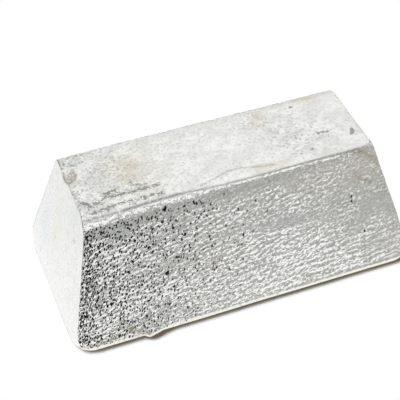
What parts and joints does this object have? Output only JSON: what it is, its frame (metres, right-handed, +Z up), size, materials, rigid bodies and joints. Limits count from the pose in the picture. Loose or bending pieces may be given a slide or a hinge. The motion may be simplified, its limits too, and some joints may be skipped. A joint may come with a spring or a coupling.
{
  "type": "tin ingot",
  "caption": "Solid cast tin ingot: a drafted trapezoid bar with rounded arrises that lies on its wide pour face, for remelting, storage and stacking.",
  "frame": {"origin": "on the floor, in the middle of the pour face", "axes": "+X along the length, +Y across the width away from the pitted long side, +Z up from the floor"},
  "size_m": [0.299, 0.1547, 0.1078],
  "materials": {
    "tin": "as-cast, smooth on the ends and wrinkled on the long sides"
  },
  "bodies": {
    "root": {"tin_ingot": "tin"}
  },
  "joints": []
}
